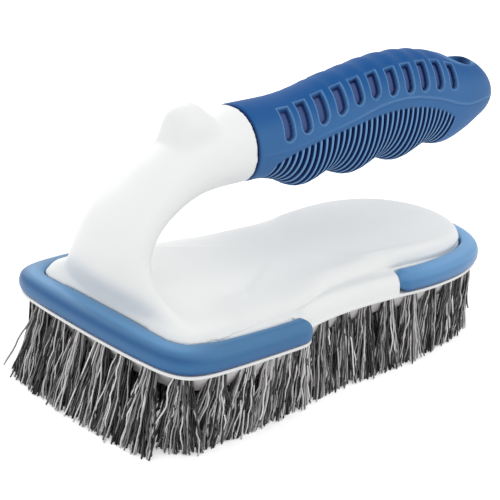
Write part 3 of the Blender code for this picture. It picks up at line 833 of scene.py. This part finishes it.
# How deep the skin is pressed in: the ribs' grooves first, with painted shade in the grooves and a
# painted highlight on the ridges
phase = (xs - RIB_FROM_X) / RIB_PITCH
aside_of_groove = phase - np.round(phase)
groove = 1 - eased((np.abs(aside_of_groove) - GROOVE_FLOOR) / GROOVE_WALL)
inside_run = (np.round(phase) >= 0) & (np.round(phase) < RIB_COUNT)
field = eased((along(RIB_UPPER, xs) - height) / RIB_FADE) * inside_run
pressed = RIB_DEEP * groove * field
dark = (1 - eased((np.abs(aside_of_groove - 0.03) - GROOVE_SHADE_WIDE) / 0.1)) * field
bright = RIB_HIGHLIGHT * (1 - dark) * field

# Then the pockets, each a straight-sided shape with a round foot and a thin raised rim
slope = np.degrees(np.arcsin(np.clip(up, -0.999, 0.999)))
radius = np.sqrt(half_high * half_wide)
hollow = np.zeros_like(xs)
for i in range(POCKET_COUNT):
    foot_x = POCKET_FROM_X + i * POCKET_PITCH
    head_x = foot_x + POCKET_LEAN
    foot_mid, foot_high, _ = grip_section(foot_x)
    head_high = grip_section(head_x)[1]
    foot_slope = math.degrees(math.asin((LIP_Z + along(POCKET_FOOT, foot_x) - foot_mid) / foot_high))
    head_slope = math.degrees(math.asin(1 - along(POCKET_BELOW_TOP, head_x) / head_high))
    share = (slope - foot_slope) / (head_slope - foot_slope)
    behind = xs - foot_x - POCKET_LEAN * share
    across = np.abs(behind)
    climb = np.radians(slope - foot_slope) * radius
    length = np.radians(head_slope - foot_slope) * radius
    straight = np.maximum(across - POCKET_HALF_WIDE, climb - length)
    below = POCKET_HALF_WIDE - climb
    round_foot = np.hypot(across, np.maximum(below, 0.0)) - POCKET_HALF_WIDE
    away = np.where(below > 0, round_foot, straight)
    edge = np.exp(-(((away - POCKET_RIM_OUT) / POCKET_RIM_WIDE) ** 2))
    pressed += POCKET_DEEP * eased(0.5 - away / POCKET_WALL) - POCKET_RIM_HIGH * edge
    # Painted shade on each pocket's walls, stronger on the side towards the tip and in the later pockets,
    # painted shade on its floor, and a painted highlight on its rim
    shaded = (0.45 + 0.55 * eased(0.5 + behind / 1.4)) * min(0.82 + 0.04 * i, 1.0)
    dark = np.maximum(dark, shaded * eased(0.3 - away / 0.25) * (1 - eased((-away - 0.45) / 0.8)))
    hollow = np.maximum(hollow, eased(-away / 0.5))
    bright = np.maximum(bright, 0.85 * edge)
flute = 0.5 + 0.5 * np.cos(2 * math.pi * (xs - POCKET_FROM_X - POCKET_LEAN) / POCKET_PITCH)
crest = eased((up - 0.84) / 0.06) * eased((xs - FLUTES_FROM_X) / FLUTE_FADE)
crest *= eased((FLUTES_TO_X - xs) / FLUTE_FADE)
pressed += FLUTE_DEEP * flute * crest

# The moulding seam with a painted highlight along it and painted shade just below, and the thin line of
# painted shade where the sleeve meets the shoulder
seam_gap = (height - along(SEAM, xs)) / SEAM_WIDE
behind_front = eased((xs - GRIP_FRONT_X - 1) / 2)
pressed -= SEAM_HIGH * np.exp(-(seam_gap**2)) * behind_front
seen = 0.12 + 0.4 * eased((xs + 5.0) / 30.0)
bright = np.maximum(bright, seen * np.exp(-(seam_gap**2)) * behind_front)
dark = np.maximum(dark, 0.5 * seen * np.exp(-((seam_gap + 1.6) ** 2)) * behind_front)
front = np.exp(-(((xs - GRIP_FRONT_X) / FRONT_LINE_WIDE) ** 2))
pressed += FRONT_LINE_DEEP * front
dark = np.maximum(dark, front)
# Painted shade: a darker blue over the top of the grip
above = eased((up - 0.35) / 0.6) * np.ones_like(xs)

# The skin is pressed in by that much, along its own normal
normal = np.stack([np.zeros_like(xs), aside / half_wide, up / half_high], -1)
normal /= np.linalg.norm(normal, axis=-1, keepdims=True)
skin = np.stack([xs, half_wide * aside, middle + half_high * up], -1) - normal * pressed[..., None]
inner_ring = upright_oval(GRIP_FRONT_X, *grip_section(GRIP_FRONT_X, FRONT_LAP), grip_turns)
skin = np.concatenate([inner_ring[None], skin])
front_middle, front_high, _ = grip_section(GRIP_FRONT_X)
skin = leaned(skin, front_middle, front_high, 1 - eased((skin[..., 0] - GRIP_FRONT_X) / LEAN_FADE))
tones = {"dark": dark, "bright": bright, "hollow": hollow, "above": above}
tones = {name: np.pad(tone, ((2, 1), (0, 0)), mode="edge") for name, tone in tones.items()}
grip = sheet("grip", capped(skin), tones)

# The hang hole is cut with a plug that widens to a dish above and a smaller one below
hole_x = GRIP_TIP_X - HANG_HOLE_FROM_TIP
hole_turns = np.linspace(0, 2 * math.pi, HOLE_ROUND, endpoint=False)
hole_top = LIP_Z + float(along(GRIP_TOP, hole_x))
hole_under = LIP_Z + float(along(GRIP_UNDER, hole_x))
hole_rings = []
for level, longer, wider in (
    (hole_under - 6.0, 2.0, 2.6),
    (hole_under - 0.6, 1.0, 1.2),
    (hole_under + 0.6, 0.3, 0.4),
    (hole_under + 2.2, 0.0, 0.0),
    (hole_top - 6.5, 0.0, 0.0),
    (hole_top - 4.4, 0.1, 1.1),
    (hole_top - 2.8, 0.4, 2.4),
    (hole_top - 1.4, 0.9, 4.0),
    (hole_top + 6.0, 2.0, 9.0),
):
    reach = HANG_HOLE_LONG / 2 + longer
    side = HANG_HOLE_WIDE / 2 + wider
    ahead = reach * np.cos(hole_turns)
    tilted = level - HANG_HOLE_SLOPE * ahead * (level > (hole_top + hole_under) / 2)
    hole_rings.append(np.column_stack([hole_x + ahead, side * np.sin(hole_turns), tilted]))
hole = sheet("hole", capped(hole_rings))
change = grip.modifiers.new("hole", "BOOLEAN")
change.operation = "DIFFERENCE"
change.solver = "EXACT"
change.object = hole
bpy.context.view_layer.objects.active = grip
bpy.ops.object.modifier_apply(modifier="hole")
bpy.data.objects.remove(hole)

# The hole's mouth is given painted shade and a rim round it a painted highlight
places = corners(grip)
reach = np.hypot((places[:, 0] - hole_x) / (HANG_HOLE_LONG / 2), places[:, 1] / (HANG_HOLE_WIDE / 2))
mouth = {"dark": 1 - eased((reach - 1.0) / 0.4), "bright": 0.6 * np.exp(-(((reach - 1.6) / 0.2) ** 2))}
for tone, added in mouth.items():
    values = np.zeros(len(places))
    grip.data.attributes[tone].data.foreach_get("value", values)
    grip.data.attributes[tone].data.foreach_set("value", np.maximum(values, added))
smooth(grip, 60)


def soft_rubber(name, colour, roughness, shine, layers):
    """Matt moulded rubber: fine grain, cloudiness, a pale bloom, and colours by the mesh's tones."""
    made = bpy.data.materials.new(name)
    made.use_nodes = True
    tree = made.node_tree
    shader = tree.nodes["Principled BSDF"]
    place = Signal(tree, None).node("ShaderNodeTexCoord", {}, {}, out="Object")
    cloud = place.noise(22.0, 4.0, 0.55).between(0.35, 0.7)
    grain = place.noise(2200.0, 2.0, 0.6)
    bloom = place.noise(90.0, 5.0, 0.6).between(0.5, 0.8)
    deep = tuple(part * 0.88 for part in colour)
    pale = tuple(part * 0.8 + 0.06 for part in colour)
    base = (bloom * 0.16).mixed(cloud.mixed(colour, deep), pale)
    for tone, layer in layers:
        base = place.attribute(tone).mixed(base, layer)
    base.feeds(shader.inputs["Base Color"])
    (roughness + bloom * 0.1 - cloud * 0.04).feeds(shader.inputs["Roughness"])
    bump = place.node("ShaderNodeBump", {}, {"Height": grain, "Strength": 0.25, "Distance": 0.0001})
    bump.feeds(shader.inputs["Normal"])
    shader.inputs["Specular IOR Level"].default_value = shine
    return made


# Painted shade and painted highlights laid over the grip's blue
grip_layers = (
    ("above", GRIP_TOP_SHADE_BLUE),
    ("hollow", POCKET_SHADE_BLUE),
    ("bright", GRIP_HIGHLIGHT_BLUE),
    ("dark", GRIP_SHADE_BLUE),
)
grip.data.materials.append(soft_rubber("grip_rubber", GRIP_BLUE, 0.55, 0.12, grip_layers))
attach(grip, "root")
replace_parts(grip, "grip_sleeve")


# Bumpers
# Two soft rubber bars pressed into the rebate round the deck, one round the nose and one round the
# rear. Each has a rounded outer face, a flat back and ends like a fingertip.
BUMPER_FOOT_H = 1.6
BUMPER_H = 8.4
BUMPER_SIDES = 48
BUMPER_STEP = 1.6
BUMPER_TIP_ANGLE = 0.06
BUMPER_TIP_STEPS = 12
BUMPER_SECTION = (
    (1.5, 1.62),
    (0.6, 1.85),
    (0.1, 2.7),
    (0.0, 4.0),
    (0.1, 5.3),
    (0.6, 6.7),
    (1.7, 7.7),
    (3.2, 8.25),
    (4.8, 8.4),
    (6.2, 8.3),
    (6.8, 7.9),
    (6.9, 6.8),
    (6.9, 3.5),
    (6.9, 1.9),
    (6.5, 1.62),
    (4.0, 1.6),
)
BUMPER_BLUE = (0.065, 0.195, 0.38)
# Painted shade low on the face, a painted dark reflection across the nose, and a painted sheen on top and
# towards the rear
BUMPER_LOW_SHADE_BLUE = (0.002, 0.085, 0.27)
BUMPER_DARK_REFLECTION_BLUE = (0.0, 0.05, 0.2)
BUMPER_SHEEN_BLUE = (0.15, 0.36, 0.64)
bumper_layers = (
    ("pale", BUMPER_SHEEN_BLUE),
    ("low", BUMPER_LOW_SHADE_BLUE),
    ("streak", BUMPER_DARK_REFLECTION_BLUE),
)
bumper_rubber = soft_rubber("bumper_rubber", BUMPER_BLUE, 0.36, 0.25, bumper_layers)


def bumper(name, start, end):
    """A bar along the outline from start to end, with fingertip ends."""
    section = through(BUMPER_SECTION + BUMPER_SECTION[:1], BUMPER_SIDES + 1)[:-1]
    middle_inset = BUMPER_WIDE / 2
    middle_h = (BUMPER_FOOT_H + BUMPER_H) / 2
    angles = np.linspace(BUMPER_TIP_ANGLE, math.pi / 2, BUMPER_TIP_STEPS)
    ends = BUMPER_END_ROUND * (1 - np.cos(angles))
    count = int((end - start) / BUMPER_STEP)
    body = np.linspace(start + BUMPER_END_ROUND, end - BUMPER_END_ROUND, count)[1:-1]
    stations = np.concatenate([start + ends, body, (end - ends)[::-1]])
    full = np.concatenate([np.sin(angles), np.ones(len(body)), np.sin(angles)[::-1]])
    inset = middle_inset + (section[None, :, 0] - middle_inset) * full[:, None]
    high = middle_h + (section[None, :, 1] - middle_h) * full[:, None]
    outline = DECK_EDGE.plain(stations % DECK_EDGE.length)[:, None, :]
    plan = outline + inward(stations)[:, None, :] * inset[..., None]
    rings = np.concatenate([plan, (LIP_Z + high)[..., None]], -1)
    # Painted shade, a deeper blue, low on the face, a painted dark reflection in a band across the nose,
    # and a painted sheen on top and towards the rear
    nose = eased((-plan[..., 0] - 70.0) / 14.0)
    face = eased((2.6 - inset) / 1.6)
    low = face * (0.8 * eased((3.4 - high) / 1.6) + 0.35 * eased((6.8 - high) / 1.6))
    streak = 0.6 * nose * np.exp(-(((high - 6.4) / 1.1) ** 2)) * eased((3.6 - inset) / 2.4)
    pale = eased((plan[..., 0] - 5.0) / 40.0) * (1 - 0.3 * face)
    pale += 0.55 * nose * eased((inset - 1.5) / 2.0)
    tones = {"low": np.minimum(low, 1.0), "streak": streak, "pale": pale}
    tones = {tone: np.pad(values, ((1, 1), (0, 0)), mode="edge") for tone, values in tones.items()}
    piece = sheet(name, capped(rings), tones)
    smooth(piece, 60)
    piece.data.materials.append(bumper_rubber)
    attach(piece, "root")
    return piece


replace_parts(bumper("nose_bumper", -FRONT_END_S, FRONT_END_S), "front_bumper")
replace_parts(bumper("tail_bumper", REAR_END_S, DECK_EDGE.length - REAR_END_S), "rear_bumper")


# Tuft plate
# A polypropylene plate, seated under the deck, that the tufts are staple-set in. Its edge slopes in
# below the lip and shows as pale wedges between the roots of the outer tufts.
TUFT_OUTLINE = (
    (-84.2, 0.0),
    (-84.0, 14.0),
    (-83.3, 26.0),
    (-81.6, 34.5),
    (-77.6, 40.2),
    (-71.0, 43.0),
    (-62.0, 43.9),
    (-52.0, 43.6),
    (-42.0, 42.2),
    (-32.0, 39.2),
    (-22.0, 35.6),
    (-10.0, 32.9),
    (4.0, 31.9),
    (20.0, 32.5),
    (36.0, 33.7),
    (50.0, 33.2),
    (62.0, 31.0),
    (73.0, 26.2),
    (81.0, 18.5),
    (85.0, 9.0),
    (86.2, 0.0),
)
CORE_SCALE = np.array([0.87, 0.82])
ROW_SLICE = 2.0  # how far the solid of a tuft row reaches up into the plate
PLATE_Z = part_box("inner_tufts_3")[1].z / MM - ROW_SLICE
PLATE_TOP_Z = LIP_Z - 0.3
PLATE_GREY = (0.66, 0.64, 0.64)
TUFT_EDGE = Edge(TUFT_OUTLINE)


def ring_edges(s):
    """Outer top, outer bottom and inner edge of the outer tuft ring, in plan."""
    outer = TUFT_EDGE.at(s)[0]
    inner = outer * CORE_SCALE
    return outer, (outer + inner) / 2, inner


outer, lower, inner = ring_edges(np.linspace(0, TUFT_EDGE.length, 300, endpoint=False))
plate_rings = []
for share, level in (
    (0.6, PLATE_TOP_Z),
    (0.0, PLATE_TOP_Z),
    (0.02, PLATE_TOP_Z - 0.6),
    (0.94, PLATE_Z + 0.35),
    (1.0, PLATE_Z),
    (1.12, PLATE_Z),
    (1.6, PLATE_Z),
):
    plan = outer + (lower - outer) * share
    plate_rings.append(np.column_stack([plan, np.full(len(plan), level)]))
plate = sheet("tuft_plate", capped(plate_rings))
smooth(plate, 40)
plate.data.materials.append(moulded_plastic("plate_polypropylene", PLATE_GREY, 0.45, 0.06))
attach(plate, "root")
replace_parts(plate, "tuft_block")


# Bristles
# Crimped nylon filaments, folded and stapled into the plate in tufts: a double ring that flares out
# under the deck's edge, and straight rows within it. All are trimmed level where the brush stands.
RING_LENGTHS = 8
RING_TUFTS = 5
ROW_COUNT = 5
ROW_CLEAR = 2.0
ROW_PITCH = 13.5
WAIST_TO_X = 40.0
NOSE_FLARE = 8.5
REAR_FLARE = 2.5
SIDE_FLARE = (
    (-70.0, -1.4),
    (-44.0, -1.2),
    (-22.0, 3.2),
    (0.0, 5.3),
    (25.0, 4.6),
    (50.0, 0.8),
    (80.0, 0.8),
)
FILAMENT_R = 0.34
FILAMENT_STEPS = 11
CRIMP = 0.34
CRIMP_LONG = 9.5
STRAY_SHARE = 0.012
RING_ROWS = (  # how far down the plate's edge, filaments in a tuft, place in the pitch
    (0.08, 80, 0.5),
    (0.75, 54, 0.75),
)
ROW_FILAMENTS = 60
ROOT_SUNK = 0.8
RING_ROOT_SPREAD = (2.6, 1.4)
RING_TIP_FILL = 0.62
RING_TIP_OUT = 2.2
RING_TIP_INSET = 2.0
RING_TIPS_APART = 4.0
ROW_ROOT_SPREAD = (2.8, 2.8)
ROW_TIP_FILL = 0.56
TIP_SCATTER = 0.16
TRIM_UNEVEN = 0.5


def flare(s):
    """How far the tips stand outside the plate's edge."""
    here, out = TUFT_EDGE.at(s)
    side = along(SIDE_FLARE, here[..., 0])
    nose = np.where(here[..., 0] < -WAIST_TO_X, np.maximum(-out[..., 0], 0.0) ** 6, 0.0)
    rear = np.where(here[..., 0] > WAIST_TO_X, np.maximum(out[..., 0], 0.0) ** 3, 0.0)
    return side + (NOSE_FLARE - side) * nose + (REAR_FLARE - side) * rear


def filaments(name, roots, tips, dice):
    """Thin three-sided crimped tubes from roots to tips, each with a shade of its own, and a little paler
    towards the rear as painted light.
    """
    count = len(roots)
    t = np.linspace(0, 1, FILAMENT_STEPS)[None, :, None]
    line = roots[:, None, :] + (tips - roots)[:, None, :] * t
    length = np.linalg.norm(tips - roots, axis=1)[:, None, None]
    for waves, size in ((length / CRIMP_LONG, CRIMP), (length / (CRIMP_LONG * 2.7), CRIMP * 1.6)):
        start = dice.uniform(0, 2 * math.pi, (count, 1, 1))
        way = dice.uniform(0, 2 * math.pi, (count, 1))
        push = size * np.sin(start + 2 * math.pi * waves * t * dice.uniform(0.8, 1.25, (count, 1, 1)))
        push *= np.minimum(t * 4, 1.0) * dice.uniform(0.5, 1.4, (count, 1, 1))
        line[..., 0] += push[..., 0] * np.cos(way)
        line[..., 1] += push[..., 0] * np.sin(way)
    run = np.gradient(line, axis=1)
    run /= np.linalg.norm(run, axis=-1, keepdims=True)
    side = np.cross(run, np.array([0.31, 0.95, 0.05]))
    side /= np.linalg.norm(side, axis=-1, keepdims=True)
    other = np.cross(run, side)
    rings = []
    for turn in (0.0, 2 * math.pi / 3, 4 * math.pi / 3):
        rings.append(line + FILAMENT_R * (side * math.cos(turn) + other * math.sin(turn)))
    points = np.stack(rings, 2)
    points[:, -1, :, 2] = line[:, -1, None, 2]
    points[..., 2] = np.maximum(points[..., 2], 0.0)
    points[..., 0] += SHIFT
    ring = np.arange(3)
    step = np.arange(FILAMENT_STEPS - 1)[:, None] * 3
    next_ring = (ring + 1) % 3
    quads = np.stack([step + ring, step + next_ring, step + 3 + next_ring, step + 3 + ring], -1)
    each = FILAMENT_STEPS * 3
    faces = (np.arange(count)[:, None, None] * each + quads.reshape(-1, 4)).reshape(-1, 4).tolist()
    ends = (np.arange(count)[:, None] * each + each - 3 + ring[::-1]).tolist()
    mesh = bpy.data.meshes.new(name)
    mesh.from_pydata((points.reshape(-1, 3) * MM).tolist(), [], faces + ends)
    shade = mesh.attributes.new("shade", "FLOAT", "POINT")
    # Each filament's own random shade, plus painted light that makes them a little paler towards the rear
    shades = dice.uniform(0, 1, count) + 0.1 * eased(roots[:, 0] / 50)
    shade.data.foreach_set("value", np.repeat(shades, each))
    piece = bpy.data.objects.new(name, mesh)
    bpy.context.scene.collection.objects.link(piece)
    mesh.shade_smooth()
    return piece


nylon = bpy.data.materials.new("crimped_nylon")
nylon.use_nodes = True
shader = nylon.node_tree.nodes["Principled BSDF"]
place = Signal(nylon.node_tree, None).node("ShaderNodeTexCoord", {}, {}, out="Object")
shade = place.attribute("shade")
# From near black to pale grey: partly a real mix of grey and black filaments, partly painted shade
# standing in for the shadowed gaps between them
stops = (
    (0.0, (0.006, 0.006, 0.007)),
    (0.32, (0.025, 0.024, 0.025)),
    (0.5, (0.16, 0.157, 0.16)),
    (0.72, (0.5, 0.49, 0.495)),
    (1.0, (0.94, 0.91, 0.92)),
)
tone = shade.node("ShaderNodeValToRGB", {"stops": stops}, {0: shade})
tone.feeds(shader.inputs["Base Color"])
(0.42 + place.noise(400.0, 2.0, 0.5) * 0.2).feeds(shader.inputs["Roughness"])


def set_tufts(name, centres_root, centres_tip, root_spread, tip_spread, count, dice):
    """Tufts of filaments between root and tip centres, each spread over its own two directions."""
    roots = []
    tips = []
    for root, tip in zip(centres_root, centres_tip):
        angle = dice.uniform(0, 2 * math.pi, count)
        reach = np.sqrt(dice.uniform(0, 1, count))
        east = reach * np.cos(angle)
        north = reach * np.sin(angle)
        across = east[:, None] * root["run"] * root_spread[0]
        outwards = north[:, None] * root["out"] * root_spread[1]
        roots.append(root["at"] + across + outwards)
        scatter = dice.normal(0, TIP_SCATTER, (count, 2))
        across = (east + scatter[:, 0])[:, None] * tip["run"] * tip_spread[0]
        outwards = (north + scatter[:, 1])[:, None] * tip["out"] * tip_spread[1]
        end = tip["at"] + across + outwards
        stray = (dice.uniform(0, 1, count) < STRAY_SHARE)[:, None] * dice.uniform(2.0, 4.5, (count, 1))
        end += stray * tip["out"]
        end[:, 2] = np.abs(dice.normal(0, TRIM_UNEVEN, count)) + 1.4 * stray[:, 0]
        tips.append(end)
    return filaments(name, np.concatenate(roots), np.concatenate(tips), dice)


def frame_at(plan, run, out, level):
    return {"at": np.array([*plan, level]), "run": np.array([*run, 0.0]), "out": np.array([*out, 0.0])}


dice = np.random.default_rng(7)
part_length = TUFT_EDGE.length / RING_LENGTHS
pitch = part_length / RING_TUFTS
for part in range(RING_LENGTHS):
    pieces = []
    for row, (down, count, late) in enumerate(RING_ROWS):
        root_centres = []
        tip_centres = []
        for tuft in range(RING_TUFTS):
            s = part_length * part + pitch * (tuft + late)
            outer, lower, inner = ring_edges(s)
            here, out = TUFT_EDGE.at(s)
            run = np.array([-out[1], out[0]])
            level = PLATE_TOP_Z + (PLATE_Z - PLATE_TOP_Z) * down
            root = outer + (lower - outer) * down
            tip = here + out * (flare(s) - RING_TIP_INSET - row * RING_TIPS_APART)
            root_centres.append(frame_at(root, run, out, level + ROOT_SUNK))
            tip_centres.append(frame_at(tip, run, out, 0.0))
        spread = (pitch * RING_TIP_FILL, RING_TIP_OUT)
        name = f"ring_tufts_{part + 1}_{row}"
        pieces.append(set_tufts(name, root_centres, tip_centres, RING_ROOT_SPREAD, spread, count, dice))
    bpy.ops.object.select_all(action="DESELECT")
    for piece in pieces:
        piece.select_set(True)
    bpy.context.view_layer.objects.active = pieces[0]
    bpy.ops.object.join()
    tufts = pieces[0]
    tufts.name = f"ring_tufts_{part + 1}"
    tufts.data.materials.append(nylon)
    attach(tufts, "root")
    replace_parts(tufts, f"outer_tufts_{part + 1}")

inner_edge = ring_edges(np.linspace(0, TUFT_EDGE.length / 2, 360, endpoint=False))[2]
waist_half = inner_edge[np.abs(inner_edge[:, 0]) < WAIST_TO_X, 1].min()
row_apart = 2 * (waist_half - ROW_CLEAR) / ROW_COUNT
for row in range(ROW_COUNT):
    y = row_apart * (row - (ROW_COUNT - 1) / 2)
    reach = inner_edge[inner_edge[:, 1] >= abs(y) + row_apart / 2, 0]
    low = reach.min() + ROW_CLEAR
    high = reach.max() - ROW_CLEAR
    count = int((high - low) / ROW_PITCH)
    start = (low + high) / 2 - ROW_PITCH * (count - 1) / 2
    root_centres = []
    tip_centres = []
    for tuft in range(count):
        plan = (start + tuft * ROW_PITCH, y)
        root_centres.append(frame_at(plan, (1.0, 0.0), (0.0, 1.0), PLATE_Z + ROOT_SUNK))
        tip_centres.append(frame_at(plan, (1.0, 0.0), (0.0, 1.0), 0.0))
    spread = (ROW_PITCH * ROW_TIP_FILL, row_apart * ROW_TIP_FILL)
    name = f"row_tufts_{row + 1}"
    tufts = set_tufts(name, root_centres, tip_centres, ROW_ROOT_SPREAD, spread, ROW_FILAMENTS, dice)
    tufts.data.materials.append(nylon)
    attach(tufts, "root")
    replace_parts(tufts, f"inner_tufts_{row + 1}")
